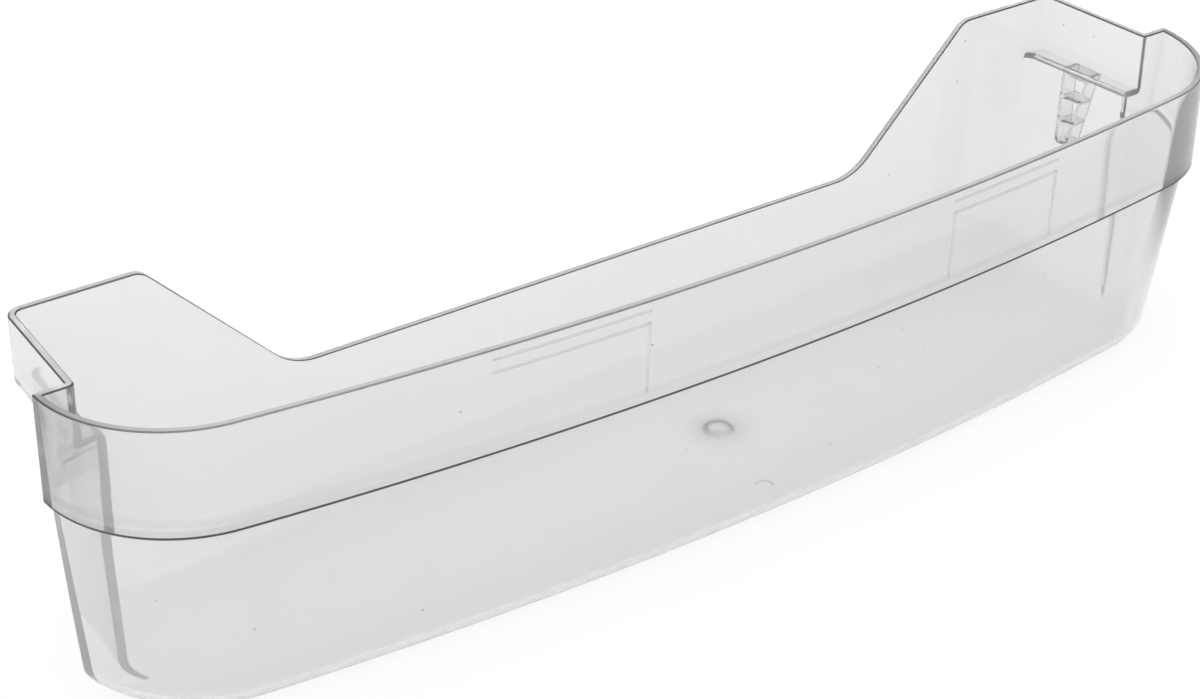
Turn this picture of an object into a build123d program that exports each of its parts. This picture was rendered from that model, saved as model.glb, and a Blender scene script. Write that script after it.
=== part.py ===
from build123d import *
import math
import os

# Clear moulded door shelf, one piece. Millimetres, +Z up, X along the length, -Y towards the room.
# While it is built, Y = 0 is the outer face of the back wall and Z = 0 is the underside of the floor.
# The finished shelf is then moved so that its origin lies under the middle of its bounding box.

# Overall size and wall
length = 500.0
depth = 116.5
height = 118.0
wall = 2.8
rim_bevel = 0.5
rim_land = 2.0

# Bowed front: one long arc between two corner arcs
bow_radius = 1640.0
corner_radius = 50.0

# Band round the top of the front, standing out from the lower front, which leans back to the foot
band_height = 40.0
band_step = 3.0
band_foot_bevel = 0.4
band_end_round = 1.0
front_lean = 7.0
end_lean = 4.5
foot_corner_radius = 56.0
foot_round = 9.0

# Ends: just behind the corner arcs, past side_land, the end walls step in, and again below a ledge.
# Inside, the corners along each ledge and above it are rounded by lip_round.
side_land = 0.9
upper_set_in = 11.2
upper_taper = 3.5
ledge_drop = 23.5
ledge_width = 7.3
ledge_round = 2.2
lower_taper = 4.5
lower_lean = 2.4
rear_corner_radius = 6.0
lip_round = 2.0

# Back wall: high at both ends, low in the middle
low_back_height = 62.5
low_back_length = 262.0
slope_angle = 45.0
slope_foot_radius = 24.0
slope_top_radius = 8.0

# Ladder rib under each ledge, which drops into the door liner
rib_rear_offset = 21.0
rib_top_width = 14.0
rib_foot_width = 6.5
rib_length = 32.0
rib_set_back = 3.0
rib_thickness = 1.6
rib_foot_round = 2.2
rib_reach_in = 14.0
rib_rungs = 2

# Thin guide ribs on the inside of the band, in two sets for clip-in dividers
guide_proud = 0.5
guide_thickness = 0.7
guide_drop = 4.7
guide_pitch = 5.0
guide_rows = 2
left_guide_start = -117.0
left_guide_end = -56.0
right_guide_start = 81.5
right_guide_end = 136.0

# Injection mark and ejector mark under the floor
gate_radius = 6.2
gate_slope = 1.8
gate_depth = 1.2
gate_nub_radius = 1.4
gate_nub_height = 0.8
gate_place = (28.0, -46.0)
ejector_radius = 3.6
ejector_slope = 0.6
ejector_depth = 0.4
ejector_place = (18.0, -87.0)

# Sizes that follow from those above
half_length = length / 2
arc_gap = bow_radius - corner_radius
bow_drop = arc_gap - math.sqrt(arc_gap**2 - (half_length - corner_radius) ** 2)
step_back = depth - corner_radius - bow_drop - side_land
band_foot = height - band_height
ledge_top = height - ledge_drop
ledge_foot = ledge_top - wall
lean_top = height - rim_land
overlap = 1.0
close_to = 0.01


def front_outline(inset, z, lean=0.0, side_lean=0.0, corner=corner_radius, line_y=-step_back):
    """Area ahead of the step line, held in by inset: bow, two corner arcs and the step line."""
    half = half_length - inset - side_lean
    reach = depth - inset - lean
    bow = bow_radius - inset
    corner = corner - inset
    bow_centre = bow - reach
    corner_x = half - corner
    corner_y = bow_centre - math.sqrt((bow - corner) ** 2 - corner_x**2)
    joint_x = corner_x * bow / (bow - corner)
    joint_y = bow_centre + (corner_y - bow_centre) * bow / (bow - corner)
    end_x = corner_x + math.sqrt(corner**2 - (line_y - corner_y) ** 2)
    joint_angle = math.atan2(joint_y - corner_y, joint_x - corner_x)
    end_angle = math.atan2(line_y - corner_y, end_x - corner_x)
    middle = (joint_angle + end_angle) / 2
    middle_x = corner_x + corner * math.cos(middle)
    middle_y = corner_y + corner * math.sin(middle)
    edges = [
        Line((end_x, line_y), (-end_x, line_y)),
        ThreePointArc((-end_x, line_y), (-middle_x, middle_y), (-joint_x, joint_y)),
        ThreePointArc((-joint_x, joint_y), (0, -reach), (joint_x, joint_y)),
        ThreePointArc((joint_x, joint_y), (middle_x, middle_y), (end_x, line_y)),
    ]
    return Pos(0, 0, z) * make_face(edges)


def rear_outline(half, taper, z, front_y, back_y):
    """Area behind the step line: half wide at the step and narrower by taper at the back wall."""
    slope = taper / step_back
    front_half = half - slope * (step_back + front_y)
    back_half = half - slope * (step_back + back_y)
    corners = [(-front_half, front_y), (front_half, front_y), (back_half, back_y), (-back_half, back_y)]
    return Pos(0, 0, z) * make_face(Polyline(*corners, close=True))


def prism(face, top):
    """A straight prism from a level face up to the height top."""
    return extrude(face, amount=top - face.center().Z, dir=(0, 0, 1))


def level_edges(solid, z):
    """The edges of a solid that lie at the height z."""
    boxes = [(edge, edge.bounding_box()) for edge in solid.edges()]
    return [edge for edge, box in boxes if abs(box.min.Z - z) < close_to and abs(box.max.Z - z) < close_to]


def depth_edges(solid, y):
    """The edges of a solid that lie at the depth y."""
    boxes = [(edge, edge.bounding_box()) for edge in solid.edges()]
    return [edge for edge, box in boxes if abs(box.min.Y - y) < close_to and abs(box.max.Y - y) < close_to]


def is_upright(edge):
    """True for an edge that runs nearly straight up."""
    return abs(edge.tangent_at(0.5).Z) > 0.9


def rear_lower(inset, floor, ledge, front_y, back_y):
    """Lower rear box, narrower than the part above the ledge; its ends lean in to the floor."""
    lean = lower_lean * (ledge - floor) / ledge_foot
    half = half_length - upper_set_in - ledge_width - inset - lean
    foot = rear_outline(half, lower_taper, floor, front_y, back_y)
    rise = Vector(lean, 0, ledge - floor)
    right_half = foot & Pos(half_length - lean - overlap, 0, floor) * Rectangle(length, 2 * depth)
    right = extrude(right_half, amount=rise.length, dir=rise)
    return right + mirror(right, about=Plane.YZ)


def rear_upper(inset, ledge, top, front_y, back_y):
    """Wider rear box above the ledge."""
    half = half_length - upper_set_in - inset
    return prism(rear_outline(half, upper_taper, ledge, front_y, back_y), top)


def round_back_corners(solid, radius):
    """Round the upright corners at the back wall's outer face."""
    return fillet([edge for edge in depth_edges(solid, 0) if is_upright(edge)], radius)


def outer_lower():
    """Lower part: leaning front and rear box, with one rounded foot all round."""
    foot = front_outline(band_step, 0, front_lean, end_lean, foot_corner_radius)
    lower = loft([foot, front_outline(band_step, band_foot)], ruled=True)
    lower += rear_lower(0, 0, ledge_foot, -step_back - overlap, 0)
    lower = fillet(level_edges(lower, 0), foot_round)
    return round_back_corners(lower, rear_corner_radius)


def outer_band():
    """Band round the top of the front, its foot edge softened."""
    band = prism(front_outline(0, band_foot), height)
    foot = [e for e in level_edges(band, band_foot) if e.center().Y < -step_back - overlap]
    return chamfer(foot, band_foot_bevel)


def outer_upper():
    """Upper ends and back, with the outer edge of each ledge rounded."""
    upper = rear_upper(0, ledge_foot, height, -step_back - overlap, 0)
    upper = round_back_corners(upper, rear_corner_radius)
    far = half_length - upper_set_in - upper_taper
    return fillet([e for e in level_edges(upper, ledge_foot) if abs(e.center().X) > far], ledge_round)


def outer_form():
    """Outer form of the shelf as a solid, with its rim and the ladder ribs."""
    form = outer_lower() + outer_band() + outer_upper()
    ends = [e for e in depth_edges(form, -step_back) if is_upright(e) and e.center().Z > band_foot]
    form = fillet([e for e in ends if abs(e.center().X) > half_length - overlap], band_end_round)
    form = chamfer(level_edges(form, height), rim_bevel)
    for side in (-1, 1):
        form += ladder_rib(side)
    return form


def inner_outline(z, inset=0.0, corner=corner_radius):
    """Outline of the hollow ahead of the step at the height z, held in by a further inset."""
    share = 1 - z / lean_top
    lean = (front_lean + band_step) * share
    side_lean = (end_lean + band_step) * share
    return front_outline(wall + inset, z, lean, side_lean, corner, -step_back - wall)


def inner_form():
    """The hollow as a solid: an upright land at the rim, one lean from there down, and two rear boxes."""
    line_y = -step_back - wall
    rim = inner_outline(lean_top)
    hollow = loft([inner_outline(wall, corner=foot_corner_radius - band_step), rim], ruled=True)
    hollow += rear_lower(wall, wall, ledge_top, line_y - overlap, -wall)
    hollow += rear_upper(wall, ledge_top, height + overlap, line_y - overlap, -wall)
    hollow += prism(rim, height + overlap)
    soft = [e for e in depth_edges(hollow, line_y) if is_throat(e.center())]
    soft += [e for e in level_edges(hollow, ledge_top) if is_lip(e)]
    hollow = fillet(soft, lip_round)
    hollow = fillet(level_edges(hollow, wall), foot_round - wall)
    back = [e for e in depth_edges(hollow, -wall) if is_back_corner(e.center())]
    return fillet(back, rear_corner_radius - wall)


def is_throat(place):
    """True for the edges above the ledges where the hollow narrows at the step."""
    return abs(place.X) < half_length - upper_set_in and place.Z > ledge_top


def is_lip(edge):
    """True for the inner edge of a ledge, where it drops into the lower part."""
    reach = half_length - upper_set_in - wall - ledge_width / 2
    return abs(edge.center().X) < reach and abs(edge.tangent_at(0.5).Y) > 0.9


def is_back_corner(place):
    """True for the edges of the hollow that run up its back corners and along the ledges."""
    return abs(place.X) > low_back_length / 2 and place.Z < height


def back_window():
    """What is cut from the back wall: a low middle with sloped ends and rounded corners."""
    low_half = low_back_length / 2
    rise = height - low_back_height
    high_half = low_half + rise / math.tan(math.radians(slope_angle))
    outline = Polyline(
        (-half_length, 0),
        (half_length, 0),
        (half_length, height),
        (high_half, height),
        (low_half, low_back_height),
        (-low_half, low_back_height),
        (-high_half, height),
        (-half_length, height),
        close=True,
    )
    wall_face = make_face(outline)
    feet = [v for v in wall_face.vertices() if abs(v.Y - low_back_height) < close_to]
    wall_face = fillet(feet, slope_foot_radius)
    reach = half_length - overlap
    tops = [v for v in wall_face.vertices() if abs(v.Y - height) < close_to and abs(v.X) < reach]
    wall_face = fillet(tops, slope_top_radius)
    frame_height = height - low_back_height + overlap
    frame_length = 2 * (high_half + slope_top_radius)
    frame = Pos(0, low_back_height + frame_height / 2) * Rectangle(frame_length, frame_height)
    window = frame - wall_face
    cut_depth = wall + 2 * overlap
    return Pos(0, overlap, 0) * extrude(Plane.XZ * window, amount=cut_depth)


def ladder_rib(side):
    """Tapered two-rail rib with rungs, standing out from one end wall below the ledge."""
    rear_y = -rib_rear_offset
    foot_z = ledge_foot - rib_length
    top_z = ledge_foot + overlap
    outer = Polyline(
        (rear_y, top_z),
        (rear_y - rib_top_width, top_z),
        (rear_y - rib_foot_width, foot_z),
        (rear_y, foot_z),
        close=True,
    )
    outer_face = make_face(outer)
    feet = [v for v in outer_face.vertices() if abs(v.Y - foot_z) < close_to]
    outer_face = fillet(feet, rib_foot_round)
    rails = outer_face - offset(outer_face, -rib_thickness)
    for rung in range(rib_rungs):
        rung_z = ledge_foot - rib_length * (rung + 1) / (rib_rungs + 1)
        bar = Pos(rear_y - rib_top_width / 2, rung_z) * Rectangle(rib_top_width, rib_thickness)
        rails += bar & outer_face
    face_x = half_length - upper_set_in - rib_set_back
    rib = Pos(face_x - rib_reach_in, 0, 0) * extrude(Plane.YZ * rails, amount=rib_reach_in)
    return rib if side > 0 else mirror(rib, about=Plane.YZ)


def guide_ribs(start, end, upright_at_start):
    """One set of guide ribs: level ones under the rim and an upright at one end or at both."""
    foot_z = band_foot + band_step
    top_z = height - guide_drop
    pattern = Sketch()
    for row in range(guide_rows):
        z = top_z - guide_thickness / 2 - row * guide_pitch
        pattern += Pos((start + end) / 2, z) * Rectangle(end - start, guide_thickness)
    uprights = [end - guide_thickness / 2]
    if upright_at_start:
        uprights.append(start + guide_thickness / 2)
    for x in uprights:
        pattern += Pos(x, (foot_z + top_z) / 2) * Rectangle(guide_thickness, top_z - foot_z)
    root = loft([inner_outline(z, -overlap) for z in (foot_z - overlap, lean_top)], ruled=True)
    layer = root - loft([inner_outline(z, guide_proud) for z in (foot_z - overlap, lean_top)], ruled=True)
    return layer & extrude(Plane.XZ * pattern, amount=depth)


def floor_marks():
    """Shallow dished recesses under the floor: the injection mark with its nub, and an ejector mark."""
    gate = Cone(gate_radius, gate_radius - gate_slope, gate_depth)
    gate -= Pos(0, 0, (gate_depth - gate_nub_height) / 2) * Cylinder(gate_nub_radius, gate_nub_height)
    ejector = Cone(ejector_radius, ejector_radius - ejector_slope, ejector_depth)
    return Pos(*gate_place, gate_depth / 2) * gate + Pos(*ejector_place, ejector_depth / 2) * ejector


def build_shelf():
    shelf = outer_form() - inner_form()
    rim_face = shelf.faces().sort_by(Axis.Z)[-1]
    shelf = chamfer(rim_face.inner_wires()[0].edges(), rim_bevel)
    shelf = shelf - back_window() - floor_marks()
    shelf += guide_ribs(left_guide_start, left_guide_end, False)
    shelf += guide_ribs(right_guide_start, right_guide_end, True)
    return Pos(0, depth / 2, 0) * shelf


shelf = build_shelf()
os.makedirs("parts", exist_ok=True)
export_step(shelf, "parts/door_shelf.step")
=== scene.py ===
import math

import bpy
import numpy as np
from mathutils import Matrix, Vector
from mathutils.geometry import tessellate_polygon


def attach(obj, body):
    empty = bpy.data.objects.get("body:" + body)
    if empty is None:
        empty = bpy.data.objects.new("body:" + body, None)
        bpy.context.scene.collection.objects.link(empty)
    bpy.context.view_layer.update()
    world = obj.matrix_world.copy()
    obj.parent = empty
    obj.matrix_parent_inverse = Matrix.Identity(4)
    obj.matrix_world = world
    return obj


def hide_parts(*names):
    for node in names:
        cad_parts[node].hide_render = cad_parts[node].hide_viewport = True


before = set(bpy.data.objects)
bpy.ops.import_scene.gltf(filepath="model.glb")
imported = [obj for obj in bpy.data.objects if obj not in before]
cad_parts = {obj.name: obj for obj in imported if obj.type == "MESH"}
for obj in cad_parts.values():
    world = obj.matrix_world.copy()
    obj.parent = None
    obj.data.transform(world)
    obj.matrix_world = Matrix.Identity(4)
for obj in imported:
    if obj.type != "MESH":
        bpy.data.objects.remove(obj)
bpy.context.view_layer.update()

# The camera looks down on the front of the shelf from its left end.
# It stands about a metre away, with the long lens of a product photograph.
CAMERA_PLACE = Vector((-0.5193, -0.6630, 0.5507))
CAMERA_AHEAD = Vector((0.5321, 0.6947, -0.4842))
CAMERA_UP = Vector((0.2753, 0.3988, 0.8748))
CAMERA_SENSOR = 36.0
CAMERA_LENS = 79.42
CAMERA_SHIFT = (-0.0481, -0.0654)
CAMERA_REACH = (0.01, 20.0)

camera_data = bpy.data.cameras.new("camera")
camera_data.sensor_width = CAMERA_SENSOR
camera_data.lens = CAMERA_LENS
camera_data.shift_x, camera_data.shift_y = CAMERA_SHIFT
camera_data.clip_start, camera_data.clip_end = CAMERA_REACH
camera = bpy.data.objects.new("camera", camera_data)
bpy.context.scene.collection.objects.link(camera)
ahead = CAMERA_AHEAD.normalized()
sideways = ahead.cross(CAMERA_UP).normalized()
upward = sideways.cross(ahead)
camera_turn = Matrix((sideways, upward, -ahead)).transposed().to_4x4()
camera.matrix_world = Matrix.Translation(CAMERA_PLACE) @ camera_turn
bpy.context.scene.camera = camera


# The shelf is one moulding in clear polystyrene, with walls near three millimetres thick.
# It is one closed skin: rings of points run round the shelf, from under the floor up the outside,
# over the rim and down the inside to the floor again. Sizes are millimetres until the mesh is made.
LENGTH = 500.0
DEPTH = 116.5
HEIGHT = 118.0
WALL = 2.8
RIM_BEVEL = 0.5
RIM_LAND = 2.0
BOW_RADIUS = 1640.0
CORNER_RADIUS = 50.0
SIDE_LAND = 0.9
BAND_HEIGHT = 40.0
BAND_STEP = 3.0
BAND_END_ROUND = 1.0
FRONT_LEAN = 7.0
END_LEAN = 4.5
FOOT_CORNER_RADIUS = 56.0
FOOT_ROUND = 9.0
UPPER_SET_IN = 11.2
UPPER_TAPER = 3.5
LEDGE_DROP = 23.5
LEDGE_WIDTH = 7.3
LEDGE_ROUND = 2.2
LOWER_TAPER = 4.5
LOWER_LEAN = 2.4
BACK_CORNER_RADIUS = 6.0
LIP_ROUND = 2.0
# The round that is left on an edge meant to be sharp
KEEN = 0.03
LOW_BACK_HEIGHT = 62.5
LOW_BACK_LENGTH = 262.0
SLOPE_FOOT_RADIUS = 24.0
SLOPE_TOP_RADIUS = 8.0
FLOOR_MIDDLE_Y = -70.0
FLOOR_SHARE = 0.96
FLOOR_SWING = 0.02

half_length = LENGTH / 2
band_foot = HEIGHT - BAND_HEIGHT
ledge_top = HEIGHT - LEDGE_DROP
ledge_foot = ledge_top - WALL
lean_top = HEIGHT - RIM_LAND
arc_gap = BOW_RADIUS - CORNER_RADIUS
bow_drop = arc_gap - math.sqrt(arc_gap**2 - (half_length - CORNER_RADIUS) ** 2)
step_back = DEPTH - CORNER_RADIUS - bow_drop - SIDE_LAND
upper_half = half_length - UPPER_SET_IN
lower_half = upper_half - LEDGE_WIDTH

# Places along the back wall, as start, end and step: closest where the low window's outline bends
BACK_SPANS = (
    (0.0, 120.0, 6.0),
    (120.0, 139.0, 0.8),
    (139.0, 183.0, 4.0),
    (183.0, 190.4, 0.4),
    (192.0, 204.0, 4.0),
)
BACK_STATIONS = np.concatenate([np.arange(*span) for span in BACK_SPANS])
STRETCH_STATIONS = 5
COUNTS = {"back_corner": 10, "end": 14, "throat": 6, "step": 7, "band_end": 6, "corner": 64, "bow": 60}


def rounded(first, corner, last, count):
    """Rounds a corner between two legs, without its end.

    Each point is the mean of start, corner and end, weighted by (1 - t) squared, by the square root of 2
    times t times (1 - t), and by t squared. Between square legs that is a quarter of a circle.
    """
    t = np.linspace(0.0, 1.0, count, endpoint=False)[:, None]
    weights = (1 - t) ** 2, math.sqrt(2) * t * (1 - t), t**2
    points = weights[0] * np.array(first) + weights[1] * np.array(corner) + weights[2] * np.array(last)
    return points / sum(weights)


def leg(first, last, count):
    """Points spaced evenly along a straight leg, without its end."""
    return np.linspace(first, last, count, endpoint=False)


def arc(x, y, radius, turn):
    """Points on a circle: its middle, plus the radius times the cosine and the sine of each turn."""
    return np.stack([x + radius * np.cos(turn), y + radius * np.sin(turn)], 1)


def half_ring(front, rear, line_y, back_y, throat_round, end_round, back_round):
    """The right half of one level outline, from the middle of the back wall round to the middle of the bow.

    front is the inset, the lean, the side lean and the corner radius; rear is the half width and the taper.
    The bow and the corner are arcs that touch. The rear end wall is a straight line that narrows to the
    back: the half width less the taper's share at that depth.
    """
    inset, lean, side_lean, corner = front
    half = half_length - inset - side_lean
    bow = BOW_RADIUS - inset
    corner = corner - inset
    bow_centre = bow - (DEPTH - inset - lean)
    corner_x = half - corner
    corner_y = bow_centre - math.sqrt((bow - corner) ** 2 - corner_x**2)
    joint_angle = math.atan2(corner_y - bow_centre, corner_x)
    end_y = line_y - end_round
    end_angle = math.asin((end_y - corner_y) / corner)
    band_end = (corner_x + corner * math.cos(end_angle), end_y)
    line_end = corner_x + math.sqrt(corner**2 - (line_y - corner_y) ** 2)
    rear_half, taper = rear

    def side_x(y):
        return rear_half - taper / step_back * (step_back + y)

    back_side = side_x(back_y)
    back_end = (back_side - back_round, back_y)
    side_start = (side_x(back_y - back_round), back_y - back_round)
    side_end = (side_x(line_y + throat_round), line_y + throat_round)
    throat = side_x(line_y)
    step_start = (throat + throat_round, line_y)
    step_end = (line_end - end_round, line_y)
    stretched = np.linspace(BACK_STATIONS[-1], back_side - back_round, STRETCH_STATIONS)[1:-1]
    along_back = np.concatenate([BACK_STATIONS, stretched])
    corner_turn = np.linspace(end_angle, joint_angle, COUNTS["corner"], endpoint=False)
    bow_turn = np.linspace(joint_angle, -math.pi / 2, COUNTS["bow"] + 1)
    return np.concatenate(
        [
            np.stack([along_back, np.full(along_back.shape, back_y)], 1),
            rounded(back_end, (back_side, back_y), side_start, COUNTS["back_corner"]),
            leg(side_start, side_end, COUNTS["end"]),
            rounded(side_end, (throat, line_y), step_start, COUNTS["throat"]),
            leg(step_start, step_end, COUNTS["step"]),
            rounded(step_end, (line_end, line_y), band_end, COUNTS["band_end"]),
            arc(corner_x, corner_y, corner, corner_turn),
            arc(0.0, bow_centre, bow, bow_turn),
        ]
    )


def back_height(x):
    """Top of the back wall over x: low in the middle, then up a 45-degree slope to the full height.

    A round at the slope's foot and one at its top are arcs: the radius less the root of its square
    less the reach's square.
    """
    low_half = LOW_BACK_LENGTH / 2
    eighth = math.tan(math.pi / 8)
    across = math.sqrt(0.5)
    foot_x = low_half - SLOPE_FOOT_RADIUS * eighth
    top_x = low_half + HEIGHT - LOW_BACK_HEIGHT + SLOPE_TOP_RADIUS * eighth
    foot_end = foot_x + SLOPE_FOOT_RADIUS * across
    top_start = top_x - SLOPE_TOP_RADIUS * across
    foot_reach = np.clip(x - foot_x, 0.0, SLOPE_FOOT_RADIUS)
    top_reach = np.clip(top_x - x, 0.0, SLOPE_TOP_RADIUS)
    foot_arc = LOW_BACK_HEIGHT + SLOPE_FOOT_RADIUS - np.sqrt(SLOPE_FOOT_RADIUS**2 - foot_reach**2)
    top_arc = HEIGHT - SLOPE_TOP_RADIUS + np.sqrt(SLOPE_TOP_RADIUS**2 - top_reach**2)
    return np.select(
        [x < foot_x, x < foot_end, x < top_start, x < top_x],
        [LOW_BACK_HEIGHT, foot_arc, LOW_BACK_HEIGHT + x - low_half, top_arc],
        HEIGHT,
    )


back_count = len(BACK_STATIONS) + STRETCH_STATIONS - 2
rear_count = back_count + COUNTS["back_corner"] + COUNTS["end"] + COUNTS["throat"]
ring_count = rear_count + COUNTS["step"] + COUNTS["band_end"] + COUNTS["corner"] + COUNTS["bow"] + 1
front_share = np.clip((np.arange(ring_count) - rear_count) / COUNTS["step"], 0.0, 1.0)


def ring(half, front_z, rear_z):
    """A full ring: the half outline and its mirror.

    Its height runs evenly from the rear's to the front's along the step. Over the low back window all
    heights above the foot are squeezed, so that the top one is back_height.
    """
    z = rear_z + (front_z - rear_z) * front_share
    x = half[:back_count, 0]
    share = (back_height(x) - FOOT_ROUND) / (HEIGHT - FOOT_ROUND)
    squeezed = FOOT_ROUND + (z[:back_count] - FOOT_ROUND) * share
    z[:back_count] = np.where(z[:back_count] > FOOT_ROUND, squeezed, z[:back_count])
    right = np.column_stack([half, z])
    left = right[-2:0:-1] * (-1.0, 1.0, 1.0)
    return np.concatenate([right, left])


def slide_back(points, shift):
    """Moves a ring's points on the flat back wall up or down, where the next ring would lie on them."""
    points[:back_count, 2] += shift
    points[1 - back_count :, 2] += shift


def outer_lower(front_z, rear_z, inset):
    """Ring on the lower outside: the front leans back and its corners widen towards the foot."""
    low = 1 - front_z / band_foot
    corner = CORNER_RADIUS + (FOOT_CORNER_RADIUS - CORNER_RADIUS) * low
    front = (BAND_STEP + inset, FRONT_LEAN * low, END_LEAN * low, corner)
    rear = (lower_half - inset - LOWER_LEAN * (1 - rear_z / ledge_foot), LOWER_TAPER)
    back_round = max(BACK_CORNER_RADIUS - inset, KEEN)
    half = half_ring(front, rear, -step_back - inset, -inset, KEEN, KEEN, back_round)
    return ring(half, front_z, rear_z)


def outer_upper(front_z, rear_z, band_inset, ledge_inset, rim_inset=0.0):
    """Ring on the band and on the wider end walls above the ledge, held in for a bevel or a round."""
    front = (band_inset + rim_inset, 0.0, 0.0, CORNER_RADIUS)
    rear = (upper_half - ledge_inset - rim_inset, UPPER_TAPER)
    line_y = -step_back - rim_inset
    half = half_ring(front, rear, line_y, -rim_inset, KEEN, BAND_END_ROUND, BACK_CORNER_RADIUS)
    return ring(half, front_z, rear_z)


def inner(front_z, rear_z, rear_half, taper, throat_round, inset):
    """Ring on the inside: one lean from the rim's land to the foot; the rear box has its own half width."""
    low = max(1 - front_z / lean_top, 0.0)
    corner = CORNER_RADIUS + (FOOT_CORNER_RADIUS - BAND_STEP - CORNER_RADIUS) * low
    front = (WALL + inset, (FRONT_LEAN + BAND_STEP) * low, (END_LEAN + BAND_STEP) * low, corner)
    rear = (rear_half - inset, taper)
    back_round = max(BACK_CORNER_RADIUS - WALL - inset, KEEN)
    half = half_ring(front, rear, -step_back - WALL - inset, -WALL - inset, throat_round, KEEN, back_round)
    return ring(half, front_z, rear_z)


def inner_lower_half(z):
    """Half width of the hollow below the ledge: it leans in a little to the foot."""
    return lower_half - WALL - LOWER_LEAN * (ledge_top - z) / ledge_foot


def drawn_in(outline):
    """A level outline drawn in towards the floor's middle, by a share that swings with the direction.

    The swing bows the straight sides, so that no three neighbours on the flat of the floor lie in one line.
    """
    x, y, z = outline.T
    share = FLOOR_SHARE + FLOOR_SWING * np.cos(2 * np.arctan2(y - FLOOR_MIDDLE_Y, x))
    return np.column_stack([x * share, FLOOR_MIDDLE_Y + (y - FLOOR_MIDDLE_Y) * share, z])


def quads_between(start, rows, columns):
    """Quads between closed rows of points: each joins a point, the one above and the two beside them."""
    here = np.arange(columns)
    beside = np.roll(here, -1)
    row = start + np.arange(rows - 1)[:, None] * columns
    above = row + columns
    return np.stack([row + here, above + here, above + beside, row + beside], -1).reshape(-1, 4).tolist()


QUARTER = np.radians(np.linspace(0.0, 90.0, 19))
LEDGE_QUARTER = np.radians(np.linspace(0.0, 90.0, 6))
# Rows at the band's foot: how far each is held in, and how far it lies above the foot
BAND_FOOT_ROWS = ((0.4, 0.0), (0.2, 0.2), (0.0, 0.4), (0.0, 1.2), (0.0, 3.5), (0.0, 6.0))
WALL_ROWS = 9
UPPER_ROWS = 6
LAND_ROWS = 3
BACK_SLIDE = 0.5

rings = [drawn_in(outer_lower(0.0, 0.0, FOOT_ROUND))]
for angle in QUARTER:
    z = FOOT_ROUND * (1 - math.cos(angle))
    rings.append(outer_lower(z, z, FOOT_ROUND * (1 - math.sin(angle))))
for share in np.linspace(0.0, 1.0, WALL_ROWS)[1:]:
    front_z = FOOT_ROUND + (band_foot - FOOT_ROUND) * share
    rear_z = FOOT_ROUND + (ledge_foot - FOOT_ROUND) * share
    rings.append(outer_lower(front_z, rear_z, 0.0))
band_foot_row = len(rings) - 1
slide_back(rings[band_foot_row], -BACK_SLIDE)
for angle, (band_inset, rise) in zip(LEDGE_QUARTER, BAND_FOOT_ROWS):
    rear_z = ledge_foot + LEDGE_ROUND * (1 - math.cos(angle))
    rings.append(outer_upper(band_foot + rise, rear_z, band_inset, LEDGE_ROUND * (1 - math.sin(angle))))
band_start = band_foot + BAND_FOOT_ROWS[-1][1]
rim_start = HEIGHT - RIM_BEVEL
for share in np.linspace(0.0, 1.0, WALL_ROWS)[1:]:
    front_z = band_start + (rim_start - band_start) * share
    rear_z = ledge_foot + LEDGE_ROUND + (rim_start - ledge_foot - LEDGE_ROUND) * share
    rings.append(outer_upper(front_z, rear_z, 0.0, 0.0))
rim_inner = upper_half - WALL
rim_row = len(rings)
rings.append(outer_upper(HEIGHT, HEIGHT, 0.0, 0.0, RIM_BEVEL))
rings.append(inner(HEIGHT, HEIGHT, rim_inner, UPPER_TAPER, LIP_ROUND, -RIM_BEVEL))
for share in np.linspace(0.0, 1.0, LAND_ROWS):
    z = rim_start + (lean_top - rim_start) * share
    rings.append(inner(z, z, rim_inner, UPPER_TAPER, LIP_ROUND, 0.0))
for share in np.linspace(0.0, 1.0, UPPER_ROWS)[1:]:
    z = lean_top + (ledge_top - lean_top) * share
    rings.append(inner(z, z, rim_inner, UPPER_TAPER, LIP_ROUND, 0.0))
slide_back(rings[-1], BACK_SLIDE)
for angle in LEDGE_QUARTER:
    # The front's rows sink by a hair each time, because the ledge's first row has the last one's height
    z = ledge_top - LIP_ROUND * (1 - math.cos(angle))
    lip_half = inner_lower_half(z) + LIP_ROUND * (1 - math.sin(angle))
    throat_round = LIP_ROUND + (KEEN - LIP_ROUND) * math.sin(angle)
    rings.append(inner(z - KEEN * (1 + angle), z, lip_half, LOWER_TAPER, throat_round, 0.0))
inner_top = ledge_top - LIP_ROUND
for share in np.linspace(0.0, 1.0, WALL_ROWS)[1:-1]:
    z = inner_top + (FOOT_ROUND - inner_top) * share
    rings.append(inner(z, z, inner_lower_half(z), LOWER_TAPER, KEEN, 0.0))
inner_foot = FOOT_ROUND - WALL
for angle in QUARTER[::-1]:
    z = WALL + inner_foot * (1 - math.cos(angle))
    rings.append(inner(z, z, inner_lower_half(z), LOWER_TAPER, KEEN, inner_foot * (1 - math.sin(angle))))
rings.append(drawn_in(rings[-1]))

columns = len(rings[0])
skin_points = np.concatenate(rings)
skin_faces = quads_between(0, len(rings), columns)


# The injection mark and the ejector mark are shallow dishes under the floor, the first one with a nub.
# Each is a profile of radii and heights turned about its middle, moulded with the floor, and the floor's
# underside is filled round both.
GATE_PLACE = (28.0, -46.0)
GATE_DISH = ((6.5, 0.0), (6.2, 0.1), (5.9, 0.25), (4.7, 1.1), (4.4, 1.2))
GATE_NUB = ((1.6, 1.2), (1.4, 1.15), (1.4, 0.45), (1.2, 0.4))
EJECTOR_PLACE = (18.0, -87.0)
EJECTOR_DISH = ((3.7, 0.0), (3.5, 0.05), (3.1, 0.35), (2.9, 0.4), (1.5, 0.4))
DISH_COLUMNS = 64


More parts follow.
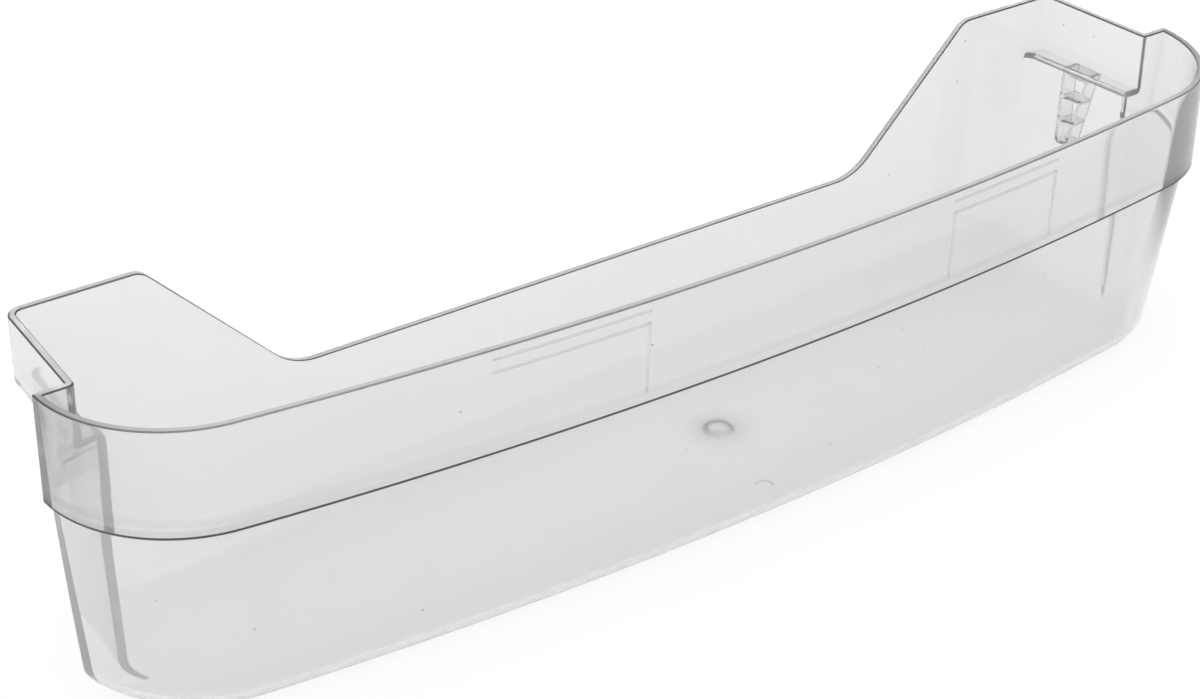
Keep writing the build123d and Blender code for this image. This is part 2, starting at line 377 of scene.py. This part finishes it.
def dish(profile, place):
    """Rings of points turned about a place: the radius times the cosine and the sine of each turn."""
    turn = (np.arange(DISH_COLUMNS) + 0.5) * 2 * math.pi / DISH_COLUMNS
    radius, z = np.array(profile).T[..., None]
    x = place[0] + radius * np.cos(turn)
    y = place[1] + radius * np.sin(turn)
    return np.stack([x, y, np.broadcast_to(z, x.shape)], -1).reshape(-1, 3)


def counter_clockwise(corners, places):
    """Turns round the triangles whose area over the first two coordinates, a cross product, is negative."""
    edges = places[corners][:, 1:] - places[corners][:, :1]
    area = edges[:, 0, 0] * edges[:, 1, 1] - edges[:, 0, 1] * edges[:, 1, 0]
    return np.where((area < 0)[:, None], corners[:, ::-1], corners)


def fill(loops, upwards):
    """Triangles that fill the first level loop of point numbers and leave the others open."""
    numbers = np.array([number for loop in loops for number in loop])
    outlines = [[Vector(skin_points[number]) for number in loop] for loop in loops]
    corners = counter_clockwise(np.array(tessellate_polygon(outlines)), skin_points[numbers])
    if not upwards:
        corners = corners[:, ::-1]
    return numbers[corners].tolist()


floor_loops = [list(range(columns))]
for profile, place in ((GATE_DISH + GATE_NUB, GATE_PLACE), (EJECTOR_DISH, EJECTOR_PLACE)):
    start = len(skin_points)
    skin_points = np.concatenate([skin_points, dish(profile, place)])
    end = len(skin_points)
    skin_faces += quads_between(start, len(profile), DISH_COLUMNS)
    skin_faces.append(list(range(end - DISH_COLUMNS, end))[::-1])
    floor_loops.append(list(range(start, start + DISH_COLUMNS)))
last_ring = (len(rings) - 1) * columns
skin_faces += fill(floor_loops, upwards=False)
skin_faces += fill([list(range(last_ring, last_ring + columns))], upwards=True)
shell_faces = len(skin_faces)


# Thin guide ribs stand on the inside of the band, in two sets for clip-in dividers.
# A ladder rib with two rungs stands on each end wall under its ledge and drops into the door liner.
# All are moulded with the shelf, in the same clear polystyrene.
GUIDE_PROUD = 0.5
GUIDE_THICKNESS = 0.7
GUIDE_DROP = 4.7
GUIDE_PITCH = 5.0
GUIDE_ROWS = 2
# Each set's start, its end and its upright ribs along the front
GUIDE_SETS = ((-117.0, -56.0, (-56.0,)), (81.5, 136.0, (82.2, 136.0)))
GUIDE_STATIONS = 24
SEAT_GAP = 0.01
RIB_REAR_OFFSET = 21.0
RIB_TOP_WIDTH = 14.0
RIB_FOOT_WIDTH = 6.5
RIB_LENGTH = 32.0
RIB_SET_BACK = 3.0
RIB_THICKNESS = 1.6
RIB_RUNGS = 2
RIB_FOOT_CUT = 1.4


def inner_front_y(x, z):
    """Depth of the bowed inner wall: the bow's arc, moved back by the wall and the lean at that height."""
    bow = BOW_RADIUS - WALL
    lean = (FRONT_LEAN + BAND_STEP) * (1 - z / lean_top)
    return bow - (DEPTH - WALL - lean) - np.sqrt(bow**2 - x**2)


def guide_bar(start, end, foot, top):
    """A bar on the inner wall: two grids over x and z, one on the wall and one proud of it.

    Quads between the two grids' rims close it.
    """
    x, z = np.meshgrid(np.linspace(start, end, GUIDE_STATIONS), np.linspace(foot, top, GUIDE_STATIONS))
    seat = np.stack([x, inner_front_y(x, z) + SEAT_GAP, z], -1)
    proud = seat + (0.0, GUIDE_PROUD, 0.0)
    count = GUIDE_STATIONS**2
    number = np.arange(count).reshape(GUIDE_STATIONS, GUIDE_STATIONS)
    cell_corners = [number[:-1, :-1], number[:-1, 1:], number[1:, 1:], number[1:, :-1]]
    cells = np.stack(cell_corners, -1).reshape(-1, 4)
    rim = np.concatenate([number[0, :-1], number[:-1, -1], number[-1, :0:-1], number[:0:-1, 0]])
    after = np.roll(rim, -1)
    sides = np.stack([rim + count, after + count, after, rim], -1)
    faces = cells.tolist() + (cells[:, ::-1] + count).tolist() + sides.tolist()
    return np.concatenate([seat.reshape(-1, 3), proud.reshape(-1, 3)]), faces


def ladder_rib(side):
    """A tapered plate with three openings between its rails and rungs, standing on an end wall.

    Its openings lie between the rails' inner lines, and its foot's corners are cut off. Its seat follows
    the end wall: the half width less the lean at that height and the taper at that depth.
    """
    rear = -RIB_REAR_OFFSET
    foot = ledge_foot - RIB_LENGTH
    top = ledge_foot - SEAT_GAP
    slope = (RIB_TOP_WIDTH - RIB_FOOT_WIDTH) / RIB_LENGTH
    width = RIB_THICKNESS * math.hypot(1.0, slope)

    def front(z):
        return rear - RIB_FOOT_WIDTH - slope * (z - foot)

    outline = [
        (rear, top),
        (rear, foot + RIB_FOOT_CUT),
        (rear - RIB_FOOT_CUT, foot),
        (front(foot) + RIB_FOOT_CUT, foot),
        (front(foot + RIB_FOOT_CUT), foot + RIB_FOOT_CUT),
        (front(top), top),
    ]
    loops = [outline]
    half_rung = RIB_THICKNESS / 2
    rungs = [ledge_foot - RIB_LENGTH * n / (RIB_RUNGS + 1) for n in range(RIB_RUNGS, 0, -1)]
    lows = [foot + RIB_THICKNESS] + [rung + half_rung for rung in rungs]
    highs = [rung - half_rung for rung in rungs] + [top - half_rung]
    for low, high in zip(lows, highs):
        loops.append(
            [
                (rear - RIB_THICKNESS, low),
                (rear - RIB_THICKNESS, high),
                (front(high) + width, high),
                (front(low) + width, low),
            ]
        )
    places = np.concatenate([np.array(loop) for loop in loops])
    y, z = places.T
    lean = LOWER_LEAN * (1 - z / ledge_foot)
    taper = LOWER_TAPER / step_back * (step_back + y)
    wall_x = lower_half - lean - taper + SEAT_GAP
    face_x = np.full(y.shape, upper_half - RIB_SET_BACK)
    points = np.concatenate([np.stack([wall_x, y, z], 1), np.stack([face_x, y, z], 1)])
    corners = np.array(tessellate_polygon([[Vector((*point, 0.0)) for point in loop] for loop in loops]))
    corners = counter_clockwise(corners, places)
    count = len(places)
    faces = (corners + count).tolist() + corners[:, ::-1].tolist()
    start = 0
    for loop in loops:
        around = np.arange(start, start + len(loop))
        after = np.roll(around, -1)
        area = np.sum(y[around] * z[after] - y[after] * z[around])
        walls = np.stack([around, after, after + count, around + count], 1)
        is_opening = loop is not outline
        if (area < 0) != is_opening:
            walls = walls[:, ::-1]
        faces += walls.tolist()
        start += len(loop)
    if side < 0:
        points = points * (-1.0, 1.0, 1.0)
        faces = [face[::-1] for face in faces]
    return points, faces


ribs = []
guide_top = HEIGHT - GUIDE_DROP
upright_top = guide_top - GUIDE_PITCH - GUIDE_THICKNESS - SEAT_GAP
for start, end, uprights in GUIDE_SETS:
    for row in range(GUIDE_ROWS):
        z = guide_top - row * GUIDE_PITCH
        ribs.append(guide_bar(start, end, z - GUIDE_THICKNESS, z))
    for upright in uprights:
        ribs.append(guide_bar(upright - GUIDE_THICKNESS, upright, band_foot + BAND_STEP, upright_top))
for side in (-1, 1):
    ribs.append(ladder_rib(side))
for points, faces in ribs:
    start = len(skin_points)
    skin_points = np.concatenate([skin_points, points])
    skin_faces += [[start + number for number in face] for face in faces]


# The plastic is clear polystyrene with a polished surface, and its faint grey tint shows at the edges.
# Use has left a thin uneven haze on the walls and more on the flat of the rim, and dust. Painted shade lies
# in dark lines in the rim's bevels, on the rim's flat towards the front corners, along the band's foot and
# at the band's ends, and in a ring round the injection mark's dish that is darker on its far side, with a
# faint dark halo round it. The band's front grows darker in streaks towards its left corner.
MILLIMETRE = 0.001
SHARP_ANGLE = math.radians(35.0)
PLASTIC_INDEX = 1.59
PLASTIC_ROUGHNESS = 0.04
PLASTIC_COLOUR = (0.97, 0.975, 0.972, 1.0)
PLASTIC_TINT = (0.742, 0.756, 0.751, 1.0)
PLASTIC_DENSITY = 9.0
FILM_ROUGHNESS = 0.6
VEIL_COLOUR = (0.88, 0.89, 0.885, 1.0)
SHADE_AND_DIRT_COLOUR = (0.035, 0.04, 0.04, 1.0)
# How much of the surface the pale haze covers, as shares
WALL_VEIL = 0.16
RIM_VEIL = 0.35
EDGE_VEIL = 0.02
RIB_VEIL = 0.06
HAZE_SCALE = 9.0
HAZE_DETAIL = 3.0
HAZE_DEPTH = 0.3
# How much of the surface dark colour covers, as shares: painted shade in the rim's bevels, on the rim's
# flat, along the band's foot and at the band's ends, then the left end's streaks and real dust; the rim
# holds less of it along the bow
BEVEL_PAINTED_SHADE = 0.85
FRONT_RIM_SHARE = 0.55
RIM_END_PAINTED_SHADE = 0.4
BAND_FOOT_PAINTED_SHADE = 0.92
# Rows of quads in the painted shade line at the band's foot
BAND_FOOT_LINE = 4
BAND_EDGE_PAINTED_SHADE = 0.6
LEFT_DARKENING = 0.36
STREAK_STRETCH = (1.0, 1.0, 0.2)
STREAK_SCALE = 60.0
STREAK_DETAIL = 2.0
DUST_GRIME = 0.5
DUST_SCALE = 55.0
DUST_SIZE = 0.026
# The darkening round the injection mark, as a ring of painted shade on the dish's slope and a faint halo:
# radius and width in metres, and share
GATE_RING = (0.0054, 0.0018, 0.95)
GATE_HALO = (0.006, 0.013, 0.16)
# The ring's painted shade grows darker from front to back: over this width in metres, and by this share
GATE_SHADE_WIDTH = 0.011
GATE_SHADE = 0.9

shelf_mesh = bpy.data.meshes.new("clear_shelf")
shelf_points = (skin_points + (0.0, DEPTH / 2, 0.0)) * MILLIMETRE
shelf_mesh.from_pydata(shelf_points.tolist(), [], skin_faces)
shelf_mesh.update()
shelf_mesh.shade_smooth()
shelf_mesh.set_sharp_from_angle(angle=SHARP_ANGLE)
shelf = bpy.data.objects.new("clear_shelf", shelf_mesh)
bpy.context.scene.collection.objects.link(shelf)
even_shading = shelf.modifiers.new("even_shading", "WEIGHTED_NORMAL")
even_shading.keep_sharp = True


def face_shares(name, skin_rows, elsewhere):
    """Writes a share to each face: the skin's quads take theirs row by row, all others take elsewhere's."""
    shares = np.broadcast_to(elsewhere, len(skin_faces)).astype(np.float32)
    shares[: skin_rows.size] = skin_rows.reshape(-1)
    attribute = shelf_mesh.attributes.new(name, "FLOAT", "FACE")
    attribute.data.foreach_set("value", shares)


column = np.arange(columns)
from_front = np.abs(column + 0.5 - (ring_count - 1))
on_left = column >= ring_count - 1
front_columns = COUNTS["bow"] + COUNTS["corner"]
ahead_of_step = from_front < front_columns
band_edge = (from_front < front_columns + COUNTS["band_end"]) & ~ahead_of_step
into_corner = np.clip((from_front - COUNTS["bow"]) / COUNTS["corner"], 0.0, 1.0)
band_line_top = band_foot_row + BAND_FOOT_LINE
band_rows = slice(band_line_top, rim_row - 1)

veil_rows = np.full((len(rings) - 1, columns), WALL_VEIL)
veil_rows[band_line_top, ahead_of_step] = EDGE_VEIL
veil_rows[rim_row] = RIM_VEIL
on_rib = np.arange(len(skin_faces)) >= shell_faces
face_shares("veil", veil_rows, np.where(on_rib, RIB_VEIL, WALL_VEIL))

# How strongly the rim's bevels carry painted shade: less along the bow, full towards the corners
rim_share = np.where(ahead_of_step, FRONT_RIM_SHARE + (1 - FRONT_RIM_SHARE) * into_corner, 1.0)
painted_shade_rows = np.zeros(veil_rows.shape)
# Painted shade: a dark line standing for the refracted shade along the band's foot
painted_shade_rows[band_foot_row:band_line_top, ahead_of_step] = BAND_FOOT_PAINTED_SHADE
# Painted shade: dark lines in the rim's bevels standing for refracted shade
painted_shade_rows[[rim_row - 1, rim_row + 1]] = BEVEL_PAINTED_SHADE * rim_share**2
# Painted shade on the rim's flat, growing towards the front corners
painted_shade_rows[rim_row] = RIM_END_PAINTED_SHADE * into_corner * ahead_of_step
# Painted shade: dark lines standing for the refracted shade at the band's ends
painted_shade_rows[band_rows, band_edge] = BAND_EDGE_PAINTED_SHADE
face_shares("grime", painted_shade_rows, 0.0)

# The band's front grows darker in streaks towards its left corner
left_darkening_rows = np.zeros(veil_rows.shape)
left_darkening_rows[band_rows] = into_corner**3 * (ahead_of_step & on_left)
face_shares("smear", left_darkening_rows, 0.0)


class Value:
    """One socket of the node tree; arithmetic on it adds Math nodes."""

    def __init__(self, nodes, socket):
        self.nodes = nodes
        self.socket = socket

    def join(self, operation, first, second):
        return self.nodes.add("ShaderNodeMath", {"operation": operation}, {0: first, 1: second})

    def __add__(self, other):
        return self.join("ADD", self, other)

    def __radd__(self, other):
        return self.join("ADD", other, self)

    def __sub__(self, other):
        return self.join("SUBTRACT", self, other)

    def __rsub__(self, other):
        return self.join("SUBTRACT", other, self)

    def __mul__(self, other):
        return self.join("MULTIPLY", self, other)

    def __rmul__(self, other):
        return self.join("MULTIPLY", other, self)

    def __lt__(self, other):
        return self.join("LESS_THAN", self, other)

    def __abs__(self):
        return self.join("ABSOLUTE", self, 0.0)

    def at_least(self, other):
        return self.join("MAXIMUM", self, other)

    def at_most(self, other):
        return self.join("MINIMUM", self, other)


class Nodes:
    """The node tree of one material or of the world."""

    def __init__(self, holder):
        holder.use_nodes = True
        self.tree = holder.node_tree
        self.tree.nodes.clear()

    def add(self, kind, settings=None, values=None, out=0):
        """Makes a node, applies its settings, sets or links its inputs, and returns one output."""
        node = self.tree.nodes.new(kind)
        for key, value in (settings or {}).items():
            if key == "stops":
                ramp = node.color_ramp
                while len(ramp.elements) < len(value):
                    ramp.elements.new(0.5)
                for element, (place, colour) in zip(ramp.elements, value):
                    element.position = place
                    element.color = colour
            else:
                setattr(node, key, value)
        for key, value in (values or {}).items():
            if isinstance(value, Value):
                self.tree.links.new(value.socket, node.inputs[key])
            else:
                node.inputs[key].default_value = value
        return Value(self, node.outputs[out]) if node.outputs else None


clear_polystyrene = bpy.data.materials.new("clear_polystyrene")
plastic = Nodes(clear_polystyrene)
object_place = plastic.add("ShaderNodeTexCoord", out="Object")
gate_centre = (GATE_PLACE[0] * MILLIMETRE, (GATE_PLACE[1] + DEPTH / 2) * MILLIMETRE, 0.0)
from_gate = plastic.add(
    "ShaderNodeVectorMath",
    {"operation": "DISTANCE"},
    {0: object_place, 1: gate_centre},
    out="Value",
)
behind_gate = plastic.add("ShaderNodeSeparateXYZ", values={0: object_place}, out="Y") - gate_centre[1]
gate_shade = (behind_gate * (1 / GATE_SHADE_WIDTH) + 0.5).at_least(0.0).at_most(1.0)


def gate_bell(radius, width, depth):
    """A darkening about the injection mark, deepest at one radius.

    It fades with the square of one less the distance from that radius, as a share of its width.
    """
    near = (1 - abs(from_gate - radius) * (1 / width)).at_least(0.0)
    return near * near * depth


# The ring is painted shade, darker on its far side; the halo darkens more widely round the mark
gate_ring_shade_and_halo = gate_bell(*GATE_RING) * (gate_shade * GATE_SHADE + (1 - GATE_SHADE)) + gate_bell(*GATE_HALO)
speck_distance = plastic.add("ShaderNodeTexVoronoi", values={"Vector": object_place, "Scale": DUST_SCALE})
dust = speck_distance < DUST_SIZE
stretched_place = plastic.add("ShaderNodeVectorMath", {"operation": "MULTIPLY"}, {0: object_place, 1: STREAK_STRETCH})
streaks = plastic.add(
    "ShaderNodeTexNoise",
    values={"Vector": stretched_place, "Scale": STREAK_SCALE, "Detail": STREAK_DETAIL},
)
left_darkening_share = plastic.add("ShaderNodeAttribute", {"attribute_name": "smear"}, out="Fac")
# One dark share: painted shade from the attribute and the injection mark's ring, with the halo, the left
# end's streaks and real dust
shade_and_dirt = plastic.add("ShaderNodeAttribute", {"attribute_name": "grime"}, out="Fac")
shade_and_dirt = shade_and_dirt.at_least(gate_ring_shade_and_halo)
shade_and_dirt = shade_and_dirt.at_least(dust * DUST_GRIME)
shade_and_dirt = shade_and_dirt.at_least(left_darkening_share * LEFT_DARKENING * (0.5 + streaks))
haze = plastic.add(
    "ShaderNodeTexNoise",
    values={"Vector": object_place, "Scale": HAZE_SCALE, "Detail": HAZE_DETAIL},
)
veil_share = plastic.add("ShaderNodeAttribute", {"attribute_name": "veil"}, out="Fac")
veil_share = veil_share * (1 - 0.5 * HAZE_DEPTH + haze * HAZE_DEPTH)
clear = plastic.add(
    "ShaderNodeBsdfPrincipled",
    values={
        "Base Color": PLASTIC_COLOUR,
        "Roughness": PLASTIC_ROUGHNESS,
        "IOR": PLASTIC_INDEX,
        "Transmission Weight": 1.0,
    },
)
film = plastic.add(
    "ShaderNodeBsdfPrincipled",
    values={"Base Color": VEIL_COLOUR, "Roughness": FILM_ROUGHNESS, "IOR": PLASTIC_INDEX},
)
shade_and_dirt_film = plastic.add(
    "ShaderNodeBsdfPrincipled",
    values={"Base Color": SHADE_AND_DIRT_COLOUR, "Roughness": FILM_ROUGHNESS, "IOR": PLASTIC_INDEX},
)
hazy = plastic.add("ShaderNodeMixShader", values={0: veil_share, 1: clear, 2: film})
surface = plastic.add("ShaderNodeMixShader", values={0: shade_and_dirt, 1: hazy, 2: shade_and_dirt_film})
tint = plastic.add("ShaderNodeVolumeAbsorption", values={"Color": PLASTIC_TINT, "Density": PLASTIC_DENSITY})
plastic.add("ShaderNodeOutputMaterial", values={"Surface": surface, "Volume": tint})
shelf_mesh.materials.append(clear_polystyrene)
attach(shelf, "root")
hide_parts("door_shelf")


# The floor is a wide sweep of white paper under the shelf, lit by the lamps.
# It is seen as plain white, straight, through the plastic and mirrored in it.
SWEEP_HALF = 6.0
SWEEP_DROP = 0.0004
SWEEP_GLOW_SHARE = 0.9
PAPER_COLOUR = (0.9, 0.9, 0.9, 1.0)
WHITE = (1.0, 1.0, 1.0, 1.0)

sweep_signs = ((-1, -1), (1, -1), (1, 1), (-1, 1))
sweep_corners = [(x * SWEEP_HALF, y * SWEEP_HALF, -SWEEP_DROP) for x, y in sweep_signs]
floor_mesh = bpy.data.meshes.new("floor")
floor_mesh.from_pydata(sweep_corners, [], [(0, 1, 2, 3)])
floor = bpy.data.objects.new("floor", floor_mesh)
bpy.context.scene.collection.objects.link(floor)
white_sweep = bpy.data.materials.new("white_sweep")
sweep = Nodes(white_sweep)
paper = sweep.add("ShaderNodeBsdfDiffuse", values={"Color": PAPER_COLOUR})
glow = sweep.add("ShaderNodeEmission", values={"Color": WHITE, "Strength": 1.0})
seen = sweep.add("ShaderNodeLightPath", out="Is Camera Ray")
seen = seen + sweep.add("ShaderNodeLightPath", out="Is Glossy Ray")
seen = seen + sweep.add("ShaderNodeLightPath", out="Is Transmission Ray")
look = sweep.add("ShaderNodeMixShader", values={0: seen.at_most(SWEEP_GLOW_SHARE), 1: paper, 2: glow})
sweep.add("ShaderNodeOutputMaterial", values={"Surface": look})
floor_mesh.materials.append(white_sweep)


# Soft studio light: a pale room, white down to the horizon, with a dark band of ceiling above it.
# The dark band is what shows as dark lines where the plastic's edges turn the light upwards.
# Films of haze, dirt and painted shade are lit by an even room instead.
CEILING_STOPS = (
    (0.0, (1.0, 1.0, 1.0, 1.0)),
    (0.14, (1.0, 1.0, 1.0, 1.0)),
    (0.3, (0.22, 0.22, 0.22, 1.0)),
    (0.45, (0.06, 0.06, 0.06, 1.0)),
    (0.62, (0.12, 0.12, 0.12, 1.0)),
    (0.8, (0.55, 0.55, 0.55, 1.0)),
    (1.0, (0.8, 0.8, 0.8, 1.0)),
)
ROOM_LIGHT = (0.92, 0.92, 0.92, 1.0)
BOUNCES = 32
GLOSSY_BOUNCES = 12
# A Mix node's sockets for colours
COLOUR_A, COLOUR_B, COLOUR_RESULT = 6, 7, 2

world = bpy.data.worlds.new("studio")
bpy.context.scene.world = world
room = Nodes(world)
direction = room.add("ShaderNodeTexCoord", out="Generated")
elevation = room.add("ShaderNodeSeparateXYZ", values={0: direction}, out="Z")
ceiling = room.add("ShaderNodeValToRGB", {"stops": CEILING_STOPS}, {0: elevation})
on_film = room.add("ShaderNodeLightPath", out="Is Diffuse Ray")
lit = room.add(
    "ShaderNodeMix",
    {"data_type": "RGBA"},
    {0: on_film, COLOUR_A: ceiling, COLOUR_B: ROOM_LIGHT},
    out=COLOUR_RESULT,
)
seen_directly = room.add("ShaderNodeLightPath", out="Is Camera Ray")
backdrop = room.add(
    "ShaderNodeMix",
    {"data_type": "RGBA"},
    {0: seen_directly, COLOUR_A: lit, COLOUR_B: WHITE},
    out=COLOUR_RESULT,
)
air = room.add("ShaderNodeBackground", values={"Color": backdrop, "Strength": 1.0})
room.add("ShaderNodeOutputWorld", values={"Surface": air})


def soft_lamp(name, place, target, size, power):
    """A square area lamp that faces a target. The plastic neither mirrors it nor shows it through."""
    lamp = bpy.data.lights.new(name, "AREA")
    lamp.shape = "SQUARE"
    lamp.size = size
    lamp.energy = power
    item = bpy.data.objects.new(name, lamp)
    item.location = place
    item.rotation_mode = "QUATERNION"
    item.rotation_quaternion = (Vector(target) - Vector(place)).to_track_quat("-Z", "Y")
    item.visible_glossy = False
    item.visible_transmission = False
    bpy.context.scene.collection.objects.link(item)


soft_lamp("lamp_overhead", place=(0.0, 0.1, 1.6), target=(0.0, 0.0, 0.0), size=1.4, power=18.0)
soft_lamp("lamp_left", place=(-1.5, -0.6, 0.9), target=(0.0, 0.0, 0.05), size=0.9, power=8.0)

bpy.context.scene.view_settings.view_transform = "Standard"
bpy.context.scene.cycles.max_bounces = BOUNCES
bpy.context.scene.cycles.transmission_bounces = BOUNCES
bpy.context.scene.cycles.glossy_bounces = GLOSSY_BOUNCES
